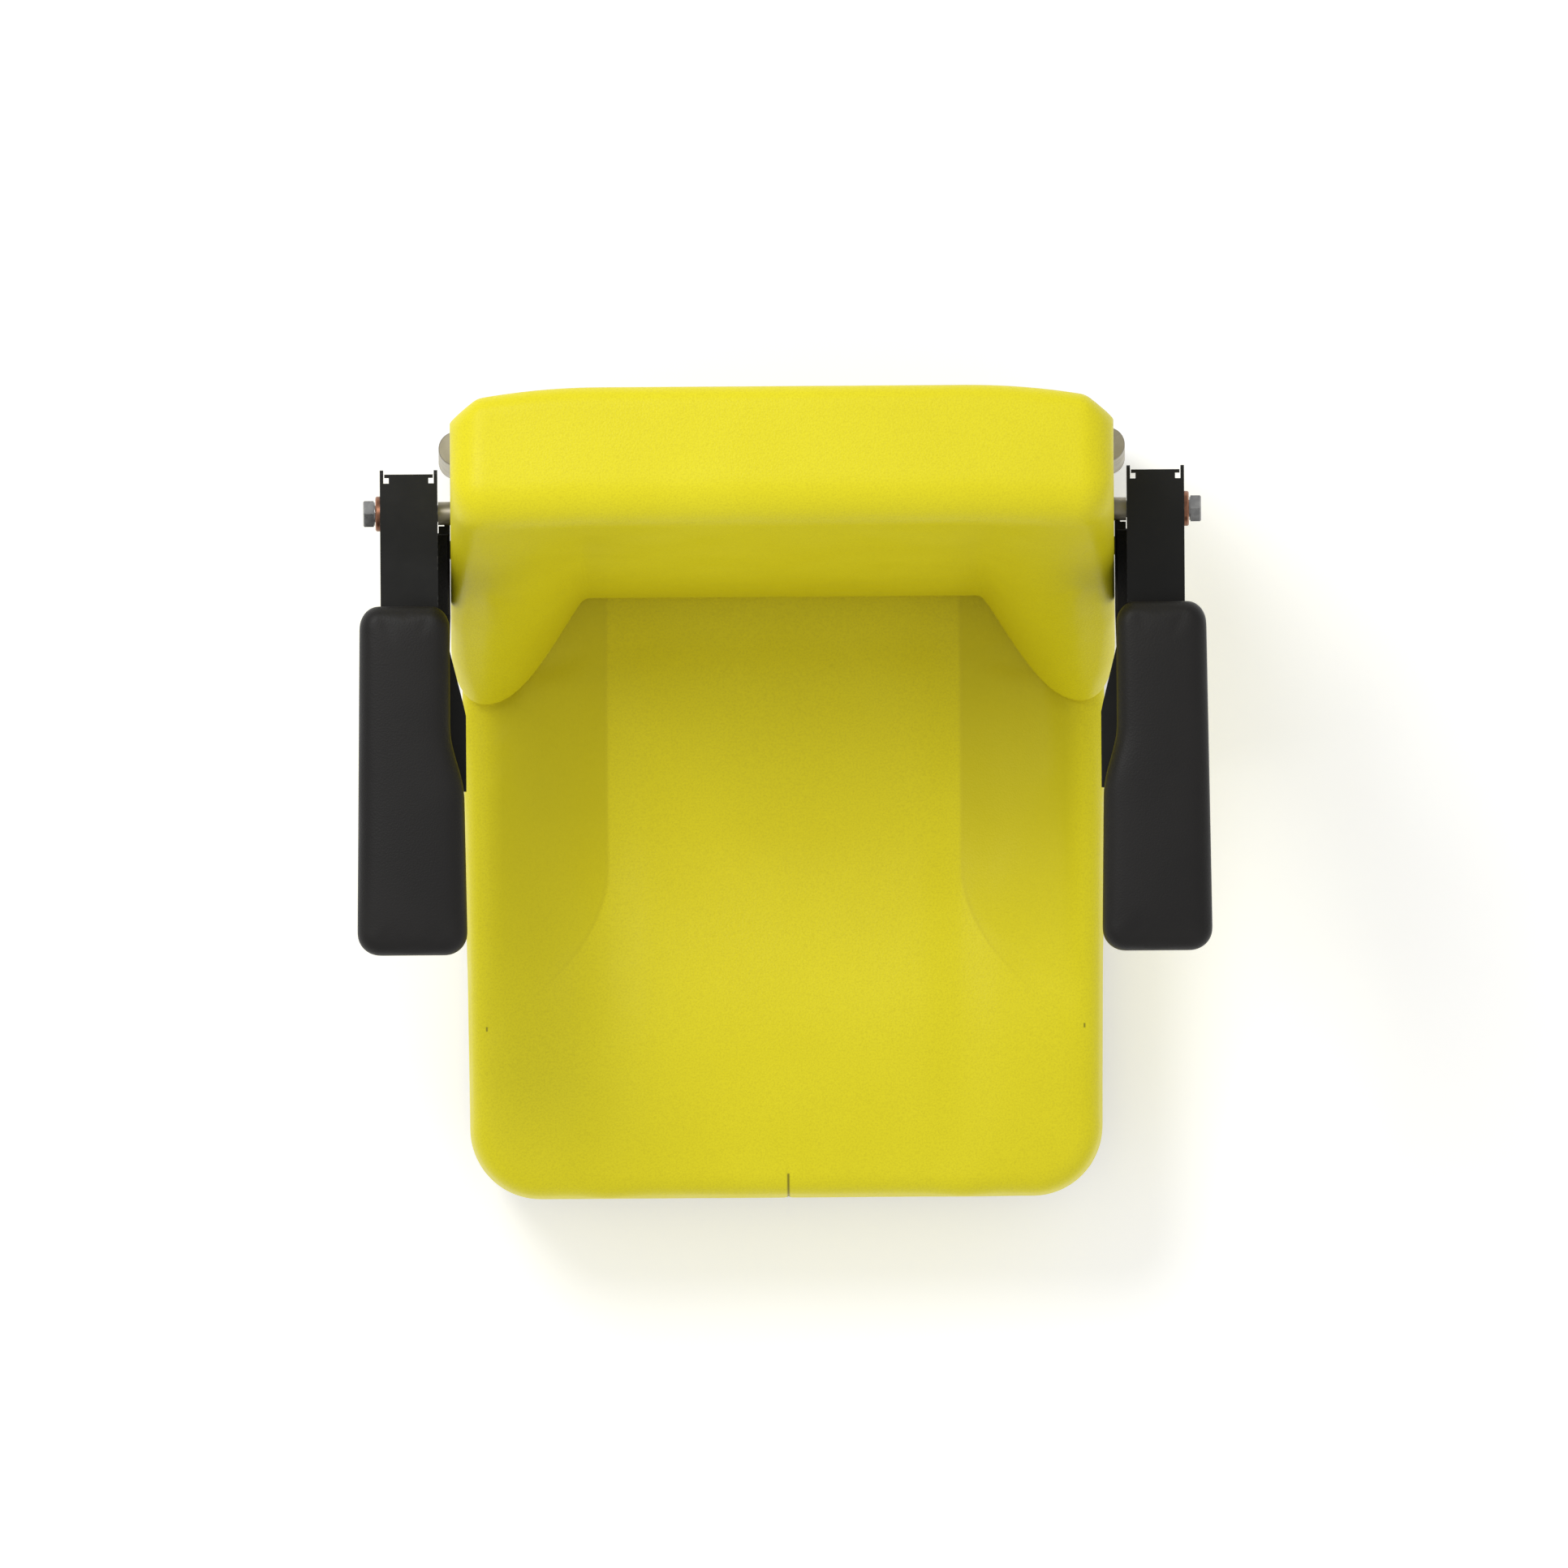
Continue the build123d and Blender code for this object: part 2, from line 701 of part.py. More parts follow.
def arm_bush():
    head = channel_out + bush_flange_thick
    bush = rod_x(bush_radius, channel_in, channel_out, pivot_y, pivot_z)
    collar = rod_x(bush_flange_radius, channel_out, head, pivot_y, pivot_z)
    bush += chamfer(collar.edges().group_by(Axis.X)[-1], 0.9)
    return bush - rod_x(bolt_radius + running_clearance, channel_in - 1, head + 1, pivot_y, pivot_z)


def pad_screw_places():
    return (ahead(pad_tail + 44), ahead(pad_front - 54))


def pad_plate():
    low = pivot_z + channel_top
    plate = block(channel_in, channel_out, ahead(pad_front - 26), ahead(pad_tail + 18), low, low + 3)
    for y in pad_screw_places():
        plate -= rod_z(m8_radius + 0.05, low - 1, low + 4, channel_mid, y)
    return plate


def arm_pad(plate):
    # The pad is waisted at its rear end, where it swings up past the side of the backrest
    clear = math.hypot(rear_top_ahead, rear_top_z - pivot_z) + 4
    waist = back_half + pad_clear
    outer = [(channel_out + pad_outer_tail, pad_tail), (channel_out + pad_outer_front, pad_front)]
    inner = [(channel_in - pad_inner_front, pad_front), (channel_in - pad_inner_front + 2, clear + 22),
             (waist, clear - 14), (waist, pad_tail)]
    sheet = outline([(x, ahead(f)) for x, f in outer + inner])
    corners = sheet.vertices().group_by(Axis.Y)
    sheet = fillet(corners[0] + corners[-1], pad_corner)
    low = pivot_z + channel_top
    pad = Pos(0, 0, low) * extrude(sheet, pad_thick)
    pad = fillet(pad.faces().sort_by(Axis.Z)[-1].edges(), 9)
    pad = fillet(pad.faces().sort_by(Axis.Z)[0].edges(), 4)
    pad -= plate
    for y in pad_screw_places():
        pad -= rod_z(m8_radius + fit_slack, low - 1, low + 22, channel_mid, y)
    return pad


def pad_screws():
    under = pivot_z + channel_top - channel_sheet
    shapes = []
    for y in pad_screw_places():
        head = rod_z(6.8, under - 4, under, channel_mid, y)
        head = fillet(head.edges().group_by(Axis.Z)[0], 2.0)
        head -= hex_z(5.0, under - 5, under - 2, channel_mid, y)
        shapes.append(head + rod_z(m8_radius, under, under + 22, channel_mid, y))
    return group(shapes)


# ---- slide lever: a flat bar whose tooth locks in the rack slots of the left rail

lever_x = rail_out_x + lever_offset
lever_front_y = ahead(cushion_nose - 16)
grip_length = 56.0
grip_half = 9.0
grip_height = 6.0


def slide_lever():
    low = lever_z - lever_thick / 2
    half = lever_width / 2
    bar = block(lever_x - half, lever_x + half, lever_front_y + 4, lever_pivot_y, low, low + lever_thick)
    bar += rod_z(half + 4, low, low + lever_thick, lever_x, lever_pivot_y)
    tip = rail_out_x - rail_wall + 0.7
    reach = tooth_width / 2
    bar += block(tip, lever_x, tooth_y - reach, tooth_y + reach, low, low + lever_thick)
    return bar - rod_z(m8_radius + running_clearance, low - 1, low + lever_thick + 1, lever_x, lever_pivot_y)


def lever_grip():
    y1 = lever_front_y + grip_length
    grip = block(lever_x - grip_half, lever_x + grip_half, lever_front_y, y1, lever_z - grip_height,
                 lever_z + grip_height)
    grip = fillet(grip.edges().filter_by(Axis.Z), 5)
    grip = fillet(grip.edges().group_by(Axis.Z)[0] + grip.edges().group_by(Axis.Z)[-1], 2.5)
    half = lever_width / 2
    return grip - block(lever_x - half, lever_x + half, lever_front_y + 4, y1 + 1, lever_z - lever_thick / 2,
                        lever_z + lever_thick / 2)


def lever_pin():
    low = lever_z - lever_thick / 2
    top = low + lever_thick
    pin = rod_z(m8_radius, low - 4.5, cushion_z, lever_x, lever_pivot_y)
    pin += rod_z(7.0, top + body_gap, pan_z, lever_x, lever_pivot_y)
    return pin + rod_z(6.5, cushion_z, cushion_z + 2.5, lever_x, lever_pivot_y)


def lever_clip():
    low = lever_z - lever_thick / 2 - body_gap
    return (rod_z(8.0, low - 2, low, lever_x, lever_pivot_y)
            - rod_z(m8_radius + 0.05, low - 3, low + 1, lever_x, lever_pivot_y))


def lever_spring():
    wire = 0.8
    turns = 4
    low = lever_z + lever_thick / 2 + 2.0
    coil_radius = 8.4
    path = Helix(pitch=2.2, height=2.2 * turns, radius=coil_radius)
    profile = Plane(origin=path @ 0, z_dir=path % 0) * Circle(wire)
    return Pos(lever_x, lever_pivot_y, low) * sweep(profile, path=path, is_frenet=True)


def build():
    pan_shape = back_pan()
    plate = pad_plate()
    parts = {
        "front_floor_bar": floor_bar(-bolt_spacing_y / 2),
        "rear_floor_bar": floor_bar(bolt_spacing_y / 2),
        "left_lower_rail": lower_rail(rail_x, True),
        "right_lower_rail": lower_rail(-rail_x, False),
        "rail_rivets": rail_rivets(),
        "rail_end_stops": rail_end_stops(),
        "left_slider": slider(rail_x),
        "right_slider": slider(-rail_x),
        "left_glides": glides(rail_x),
        "right_glides": glides(-rail_x),
        "seat_pan": seat_pan(),
        "pan_bolts": pan_bolts(),
        "pan_nuts": pan_nuts(),
        "seat_cushion": seat_cushion(),
        "backrest_cushion": backrest_cushion(pan_shape),
        "back_pan": pan_shape,
        "back_bolts": back_bolts(),
        "back_nuts": back_nuts(),
        "cross_beam": cross_beam(),
        "beam_bolts": beam_bolts(),
        "beam_nuts": beam_nuts(),
        "slide_lever": slide_lever(),
        "lever_grip": lever_grip(),
        "lever_pin": lever_pin(),
        "lever_clip": lever_clip(),
        "lever_spring": lever_spring(),
    }
    paired = {
        "post": post(),
        "post_cap": post_cap(),
        "back_tab": back_tab(),
        "pivot_boss": pivot_boss(),
        "pivot_bolt": pivot_bolt(),
        "pivot_nut": pivot_nut(),
        "stop_bracket": stop_bracket(),
        "stop_pad": stop_pad(),
        "bracket_sleeves": bracket_sleeves(),
        "bracket_bolts": bracket_bolts(),
        "bracket_nuts": bracket_nuts(),
        "arm_channel": arm_channel(),
        "arm_bush": arm_bush(),
        "arm_pad": arm_pad(plate),
        "pad_plate": plate,
        "pad_screws": pad_screws(),
    }
    for name, shape in paired.items():
        parts["left_" + name] = shape
        parts["right_" + name] = flipped(shape)
    return parts


os.makedirs("parts", exist_ok=True)
for name, shape in build().items():
    export_step(shape, "parts/" + name + ".step")
    print(name, round(shape.volume))
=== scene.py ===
import bpy
import math
import numpy as np
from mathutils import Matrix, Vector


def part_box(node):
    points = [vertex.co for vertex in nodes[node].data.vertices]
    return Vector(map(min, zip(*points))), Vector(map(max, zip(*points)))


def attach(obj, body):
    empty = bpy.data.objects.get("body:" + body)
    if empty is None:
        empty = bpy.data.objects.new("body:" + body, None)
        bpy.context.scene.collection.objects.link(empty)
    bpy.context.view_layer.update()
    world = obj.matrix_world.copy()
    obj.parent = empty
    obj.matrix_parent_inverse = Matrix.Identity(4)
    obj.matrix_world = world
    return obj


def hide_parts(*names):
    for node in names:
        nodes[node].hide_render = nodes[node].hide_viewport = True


# Vehicle seat with flip-up armrests. Metres; the sitter faces -Y, so +X is the sitter's left.
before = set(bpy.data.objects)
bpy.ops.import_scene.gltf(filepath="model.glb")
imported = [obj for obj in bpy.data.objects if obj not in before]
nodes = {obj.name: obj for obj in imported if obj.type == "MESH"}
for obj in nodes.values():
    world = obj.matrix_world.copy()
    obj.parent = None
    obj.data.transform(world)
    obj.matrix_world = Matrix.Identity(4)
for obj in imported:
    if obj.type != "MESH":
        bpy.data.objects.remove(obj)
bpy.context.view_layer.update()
bpy.context.scene.view_settings.view_transform = "Standard"
print("frame loaded:", len(nodes), "nodes")


def deselectAll():
    if bpy.context.object and bpy.context.object.mode != "OBJECT":
        bpy.ops.object.mode_set(mode="OBJECT")
    bpy.ops.object.select_all(action="DESELECT")


def makeActive(piece):
    deselectAll()
    piece.select_set(True)
    bpy.context.view_layer.objects.active = piece


# Finishes. Each is built on Object coordinates, so it stays put on the piece.

def startFinish(name):
    finish = bpy.data.materials.new(name)
    finish.use_nodes = True
    tree = finish.node_tree
    shader = tree.nodes["Principled BSDF"]
    place = tree.nodes.new("ShaderNodeTexCoord")
    return finish, tree, shader, place.outputs["Object"]


def addNoise(tree, place, scale, detail=2.0, roughness=0.5, stretch=None):
    noise = tree.nodes.new("ShaderNodeTexNoise")
    noise.inputs["Scale"].default_value = scale
    noise.inputs["Detail"].default_value = detail
    noise.inputs["Roughness"].default_value = roughness
    if stretch:
        mapping = tree.nodes.new("ShaderNodeMapping")
        mapping.inputs["Scale"].default_value = stretch
        tree.links.new(place, mapping.inputs["Vector"])
        place = mapping.outputs["Vector"]
    tree.links.new(place, noise.inputs["Vector"])
    return noise.outputs["Fac"]


def addRamp(tree, source, stops):
    ramp = tree.nodes.new("ShaderNodeValToRGB")
    while len(ramp.color_ramp.elements) < len(stops):
        ramp.color_ramp.elements.new(0.5)
    for element, (position, color) in zip(ramp.color_ramp.elements, stops):
        element.position = position
        element.color = (*color, 1.0) if len(color) == 3 else color
    tree.links.new(source, ramp.inputs["Fac"])
    return ramp.outputs["Color"]


def addMix(tree, factor, first, second):
    mix = tree.nodes.new("ShaderNodeMix")
    mix.data_type = "RGBA"
    if isinstance(factor, float):
        mix.inputs[0].default_value = factor
    else:
        tree.links.new(factor, mix.inputs[0])
    for socket, value in ((mix.inputs[6], first), (mix.inputs[7], second)):
        if isinstance(value, tuple):
            socket.default_value = (*value, 1.0)
        else:
            tree.links.new(value, socket)
    return mix.outputs[2]


def addMath(tree, operation, first, second, clamp=False):
    node = tree.nodes.new("ShaderNodeMath")
    node.operation = operation
    node.use_clamp = clamp
    for socket, value in ((node.inputs[0], first), (node.inputs[1], second)):
        if isinstance(value, (int, float)):
            socket.default_value = value
        else:
            tree.links.new(value, socket)
    return node.outputs[0]


def addRange(tree, source, low, high, outLow, outHigh):
    node = tree.nodes.new("ShaderNodeMapRange")
    node.inputs["From Min"].default_value = low
    node.inputs["From Max"].default_value = high
    node.inputs["To Min"].default_value = outLow
    node.inputs["To Max"].default_value = outHigh
    tree.links.new(source, node.inputs["Value"])
    return node.outputs["Result"]


def addBump(tree, height, strength, distance, before=None):
    bump = tree.nodes.new("ShaderNodeBump")
    bump.inputs["Strength"].default_value = strength
    bump.inputs["Distance"].default_value = distance
    tree.links.new(height, bump.inputs["Height"])
    if before:
        tree.links.new(before, bump.inputs["Normal"])
    return bump.outputs["Normal"]


def addEdgeWear(tree, radius):
    # Finds outside and inside edges by comparing the true normal with a rounded one
    bevel = tree.nodes.new("ShaderNodeBevel")
    bevel.samples = 4
    bevel.inputs["Radius"].default_value = radius
    geometry = tree.nodes.new("ShaderNodeNewGeometry")
    dot = tree.nodes.new("ShaderNodeVectorMath")
    dot.operation = "DOT_PRODUCT"
    tree.links.new(bevel.outputs["Normal"], dot.inputs[0])
    tree.links.new(geometry.outputs["Normal"], dot.inputs[1])
    return addRange(tree, dot.outputs["Value"], 0.97, 0.75, 0.0, 1.0)


vinylLook = {
    "yellow": (0.800, 0.712, 0.012),
    "deepYellow": (0.775, 0.684, 0.010),
    "paleYellow": (0.822, 0.736, 0.016),
    "shade": (0.56, 0.47, 0.010),
    # painted shade: the darker yellow laid on the bolster tops
    "bolster": (0.640, 0.560, 0.006),
    "seam": (0.20, 0.17, 0.012),
    "grainScale": 850.0,
    "speckleScale": 760.0,
    "poreScale": 2300.0,
    "roughness": (0.38, 0.50),
}


def bolsterShadeMasks(tree, place):
    # Painted shade: the side bolster tops get a darker yellow than the middle panel, strongest towards the backrest,
    # and a painted shade line runs along the crease between them
    split = tree.nodes.new("ShaderNodeSeparateXYZ")
    tree.links.new(place, split.inputs[0])
    side = addMath(tree, "ABSOLUTE", split.outputs["X"], 0.0)
    curve = addMath(tree, "POWER", addRange(tree, split.outputs["Y"], -0.080, -0.198, 0.0, 1.0), 2.1)
    crease = addMath(tree, "ADD", addMath(tree, "MULTIPLY", curve, 0.085), 0.126)
    beyond = addMath(tree, "SUBTRACT", side, crease)
    inside = addRange(tree, beyond, -0.0008, 0.0016, 0.0, 1.0)
    rim = addRange(tree, side, 0.200, 0.212, 1.0, 0.0)
    fade = addRange(tree, split.outputs["Y"], -0.175, -0.040, 0.0, 0.85)
    top = addRange(tree, split.outputs["Z"], 0.112, 0.122, 0.0, 1.0)
    paintedBolsterShade = addMath(tree, "MULTIPLY", addMath(tree, "MULTIPLY", inside, rim), addMath(tree, "MULTIPLY", fade, top), True)
    # painted shade line along each crease, fading out towards the front
    away = addMath(tree, "ABSOLUTE", beyond, 0.0)
    reach = addMath(tree, "MULTIPLY", addRange(tree, split.outputs["Y"], -0.190, -0.120, 0.0, 1.0), top)
    line = addMath(tree, "MULTIPLY", addRange(tree, away, 0.0004, 0.0022, 0.30, 0.0), reach, True)
    return paintedBolsterShade, line


def makeVinyl(name, look, seamMask=None):
    finish, tree, shader, place = startFinish(name)
    cloudy = addNoise(tree, place, 7.0, 3.0)
    color = addRamp(tree, cloudy, [(0.3, look["deepYellow"]), (0.52, look["yellow"]), (0.75, look["paleYellow"])])
    speckle = addNoise(tree, place, look["speckleScale"], 2.0, 0.6)
    color = addMix(tree, addRange(tree, speckle, 0.42, 0.72, 0.0, 0.34), color, look["shade"])
    if seamMask:
        paintedBolsterShade, creaseShadeLine = bolsterShadeMasks(tree, place)
        # painted shade: bolster tops darkened, most towards the backrest
        color = addMix(tree, paintedBolsterShade, color, look["bolster"])
        # painted shade line along each crease
        color = addMix(tree, creaseShadeLine, color, look["shade"])
        color = addMix(tree, seamMask(tree, place), color, look["seam"])
    tree.links.new(color, shader.inputs["Base Color"])
    grain = tree.nodes.new("ShaderNodeTexVoronoi")
    grain.feature = "SMOOTH_F1"
    grain.inputs["Scale"].default_value = look["grainScale"]
    tree.links.new(place, grain.inputs["Vector"])
    pores = addNoise(tree, place, look["poreScale"], 2.0, 0.6)
    coarse = addBump(tree, grain.outputs["Distance"], 0.34, 0.0004)
    fine = addBump(tree, pores, 0.14, 0.0002, coarse)
    tree.links.new(fine, shader.inputs["Normal"])
    patches = addNoise(tree, place, 22.0, 4.0)
    tree.links.new(addRange(tree, patches, 0.3, 0.7, *look["roughness"]), shader.inputs["Roughness"])
    shader.inputs["Specular IOR Level"].default_value = 0.24
    return finish


def frontSeamMask(tree, place):
    # The closing seam at the middle of the nose, and the two small nicks where the side rolls die out
    split = tree.nodes.new("ShaderNodeSeparateXYZ")
    tree.links.new(place, split.inputs[0])
    offset = addMath(tree, "ABSOLUTE", addMath(tree, "SUBTRACT", split.outputs["X"], 0.0012), 0.0)
    line = addRange(tree, offset, 0.0004, 0.0013, 0.85, 0.0)
    nose = addRange(tree, split.outputs["Y"], -0.3005, -0.3015, 0.0, 1.0)
    seam = addMath(tree, "MULTIPLY", line, nose, True)
    side = addMath(tree, "ABSOLUTE", split.outputs["X"], 0.0)
    nickX = addMath(tree, "ABSOLUTE", addMath(tree, "SUBTRACT", side, 0.2125), 0.0)
    nickY = addMath(tree, "ABSOLUTE", addMath(tree, "ADD", split.outputs["Y"], 0.197), 0.0)
    nick = addMath(tree, "MULTIPLY", addRange(tree, nickX, 0.0004, 0.0009, 0.8, 0.0),
                   addRange(tree, nickY, 0.0012, 0.0020, 1.0, 0.0), True)
    return addMath(tree, "MAXIMUM", seam, nick)


padLook = {
    "black": (0.0100, 0.0092, 0.0086),
    "worn": (0.0180, 0.0168, 0.0158),
    "grainScale": 900.0,
    "roughness": (0.46, 0.62),
}


def makePadSkin(name, look):
    finish, tree, shader, place = startFinish(name)
    cloudy = addNoise(tree, place, 14.0, 4.0)
    color = addMix(tree, addRange(tree, cloudy, 0.45, 0.75, 0.0, 0.55), look["black"], look["worn"])
    tree.links.new(color, shader.inputs["Base Color"])
    grain = tree.nodes.new("ShaderNodeTexVoronoi")
    grain.feature = "SMOOTH_F1"
    grain.inputs["Scale"].default_value = look["grainScale"]
    tree.links.new(place, grain.inputs["Vector"])
    pores = addNoise(tree, place, 2600.0, 2.0, 0.6)
    coarse = addBump(tree, grain.outputs["Distance"], 0.30, 0.0004)
    tree.links.new(addBump(tree, pores, 0.12, 0.0002, coarse), shader.inputs["Normal"])
    tree.links.new(addRange(tree, cloudy, 0.3, 0.7, *look["roughness"]), shader.inputs["Roughness"])
    shader.inputs["Specular IOR Level"].default_value = 0.26
    return finish


paintLook = {
    "paint": (0.0062, 0.0062, 0.0056),
    "dusty": (0.0125, 0.0122, 0.0112),
    "primer": (0.11, 0.105, 0.10),
    "edgeRadius": 0.0012,
}


def makeBlackPaint(name, look):
    finish, tree, shader, place = startFinish(name)
    dust = addNoise(tree, place, 18.0, 5.0, 0.6)
    color = addMix(tree, addRange(tree, dust, 0.45, 0.8, 0.0, 0.8), look["paint"], look["dusty"])
    chips = addNoise(tree, place, 260.0, 4.0, 0.65)
    edge = addEdgeWear(tree, look["edgeRadius"])
    worn = addMath(tree, "MULTIPLY", edge, addRange(tree, chips, 0.50, 0.60, 0.0, 0.75), True)
    color = addMix(tree, worn, color, look["primer"])
    tree.links.new(color, shader.inputs["Base Color"])
    orangePeel = addNoise(tree, place, 420.0, 1.0, 0.4)
    tree.links.new(addBump(tree, orangePeel, 0.10, 0.0003), shader.inputs["Normal"])
    rough = addRange(tree, dust, 0.3, 0.7, 0.28, 0.46)
    tree.links.new(addMath(tree, "MAXIMUM", rough, addMath(tree, "MULTIPLY", worn, 0.7)), shader.inputs["Roughness"])
    shader.inputs["Specular IOR Level"].default_value = 0.26
    return finish


metalLooks = {
    "zinc": {"light": (0.42, 0.42, 0.41), "dark": (0.25, 0.25, 0.25), "cells": 260.0, "turned": 0.0,
             "roughness": (0.24, 0.42)},
    "steel": {"light": (0.40, 0.37, 0.30), "dark": (0.27, 0.245, 0.195), "cells": 90.0, "turned": 1400.0,
              "roughness": (0.34, 0.52)},
    "bronze": {"light": (0.40, 0.19, 0.115), "dark": (0.22, 0.10, 0.06), "cells": 140.0, "turned": 1100.0,
               "roughness": (0.26, 0.44)},
}


def makeMetal(name, look):
    finish, tree, shader, place = startFinish(name)
    cells = tree.nodes.new("ShaderNodeTexVoronoi")
    cells.inputs["Scale"].default_value = look["cells"]
    tree.links.new(place, cells.inputs["Vector"])
    cloudy = addNoise(tree, place, 60.0, 4.0, 0.6)
    tone = addMath(tree, "ADD", addMath(tree, "MULTIPLY", cells.outputs["Color"], 0.35),
                   addMath(tree, "MULTIPLY", cloudy, 0.65))
    color = addMix(tree, addRange(tree, tone, 0.25, 0.75, 0.0, 1.0), look["dark"], look["light"])
    tree.links.new(color, shader.inputs["Base Color"])
    shader.inputs["Metallic"].default_value = 1.0
    tree.links.new(addRange(tree, cloudy, 0.3, 0.7, *look["roughness"]), shader.inputs["Roughness"])
    scratches = addNoise(tree, place, look["turned"] or 700.0, 2.0, 0.5,
                         (1.0, 0.06, 0.06) if look["turned"] else None)
    tree.links.new(addBump(tree, scratches, 0.10, 0.0002), shader.inputs["Normal"])
    return finish


plasticLook = {"black": (0.017, 0.017, 0.018), "grey": (0.032, 0.032, 0.033), "grainScale": 1500.0}


def makePlastic(name, look):
    finish, tree, shader, place = startFinish(name)
    cloudy = addNoise(tree, place, 30.0, 4.0)
    color = addMix(tree, addRange(tree, cloudy, 0.4, 0.8, 0.0, 0.8), look["black"], look["grey"])
    tree.links.new(color, shader.inputs["Base Color"])
    spark = addNoise(tree, place, look["grainScale"], 2.0, 0.6)
    tree.links.new(addBump(tree, spark, 0.2, 0.0002), shader.inputs["Normal"])
    tree.links.new(addRange(tree, cloudy, 0.3, 0.7, 0.42, 0.58), shader.inputs["Roughness"])
    return finish


seatVinyl = makeVinyl("seatVinyl", vinylLook, frontSeamMask)
backVinyl = makeVinyl("backVinyl", vinylLook)
padSkin = makePadSkin("padSkin", padLook)
finishes = {
    "black_steel": makeBlackPaint("satinBlackPaint", paintLook),
    "zinc_steel": makeMetal("zincPlate", metalLooks["zinc"]),
    "bare_steel": makeMetal("bareSteel", metalLooks["steel"]),
    "bronze": makeMetal("sinteredBronze", metalLooks["bronze"]),
    "black_plastic": makePlastic("blackPlastic", plasticLook),
    "yellow_vinyl": backVinyl,
    "black_pad": padSkin,
}
for name, node in nodes.items():
    for slot in node.material_slots:
        slotName = slot.material.name.split(".")[0]
        if slotName in finishes:
            slot.material = finishes[slotName]
        else:
            print("no finish for", name, slotName)
print("finishes made")


# Shared shaping helpers for the padded pieces

def evenLines(low, high, step):
    count = max(1, round((high - low) / step))
    return [low + (high - low) * k / count for k in range(count)]


def rollLines(edge, roll, steps):
    # Lines at equal angles round an edge roll, from the edge inwards
    return [edge - roll * (1 - math.cos(0.5 * math.pi * k / steps)) for k in range(steps + 1)]


def layGrid(name, linesX, linesY):
    # A grid primitive whose lines are moved to the places given
    deselectAll()
    bpy.ops.mesh.primitive_grid_add(x_subdivisions=len(linesX) - 1, y_subdivisions=len(linesY) - 1, size=2)
    piece = bpy.context.object
    piece.name = name
    piece.data.name = name
    co = readPoints(piece)
    column = np.rint((co[:, 0] + 1) / 2 * (len(linesX) - 1)).astype(int)
    row = np.rint((co[:, 1] + 1) / 2 * (len(linesY) - 1)).astype(int)
    co[:, 0] = np.array(linesX)[column]
    co[:, 1] = np.array(linesY)[row]
    co[:, 2] = 0
    writePoints(piece, co)
    return piece


def readPoints(piece):
    co = np.zeros(len(piece.data.vertices) * 3)
    piece.data.vertices.foreach_get("co", co)
    return co.reshape(-1, 3)


def writePoints(piece, co):
    piece.data.vertices.foreach_set("co", co.ravel())
    piece.data.update()


def smoothStep(value, low, high):
    t = np.clip((value - low) / (high - low), 0, 1)
    return t * t * (3 - 2 * t)


def softMin(first, second, width):
    return -width * np.log(np.exp(-first / width) + np.exp(-second / width))


def roundPlan(x, y, halfX, halfY, radius):
    # Bends the square rings of a grid round the corners of a rounded rectangle
    ax, ay = np.abs(x), np.abs(y)
    inset = np.minimum(halfX - ax, halfY - ay)
    corner = np.maximum(radius - inset, 1e-6)
    startX = halfX - inset - corner
    startY = halfY - inset - corner
    onSide = halfX - ax <= halfY - ay
    t = np.where(onSide, (ay - startY) / corner, (ax - startX) / corner)
    t = np.clip(t, 0, 1)
    turn = np.where(onSide, t * math.pi / 4, math.pi / 2 - t * math.pi / 4)
    inCorner = (ax > startX - 1e-9) & (ay > startY - 1e-9)
    newX = np.where(inCorner, startX + corner * np.cos(turn), ax)
    newY = np.where(inCorner, startY + corner * np.sin(turn), ay)
    return np.sign(x) * newX, np.sign(y) * newY, inset


def dropWalls(piece, levels, tuck):
    # Walls go down from the open edge in steps, and a hem turns under at the foot
    makeActive(piece)
    bpy.ops.object.mode_set(mode="EDIT")
    bpy.ops.mesh.select_all(action="DESELECT")
    bpy.ops.mesh.select_mode(type="EDGE")
    bpy.ops.mesh.select_non_manifold()
    previous = None
    for level, inset in levels:
        if previous is None:
            previous = (level, inset)
            continue
        bpy.ops.mesh.extrude_region_move(TRANSFORM_OT_translate={"value": (0, 0, level - previous[0])})
        if abs(inset - previous[1]) > 1e-6:
            reach = tuck(inset - previous[1])
            bpy.ops.transform.resize(value=(reach[0], reach[1], 1.0), center_override=reach[2])
        previous = (level, inset)
    bpy.ops.object.mode_set(mode="OBJECT")


def closeEnds(piece):
    makeActive(piece)
    bpy.ops.object.mode_set(mode="EDIT")
    bpy.ops.mesh.select_all(action="DESELECT")
    bpy.ops.mesh.select_mode(type="EDGE")
    bpy.ops.mesh.select_non_manifold()
    bpy.ops.mesh.edge_face_add()
    bpy.ops.mesh.select_all(action="SELECT")
    bpy.ops.mesh.normals_make_consistent(inside=False)
    bpy.ops.object.mode_set(mode="OBJECT")


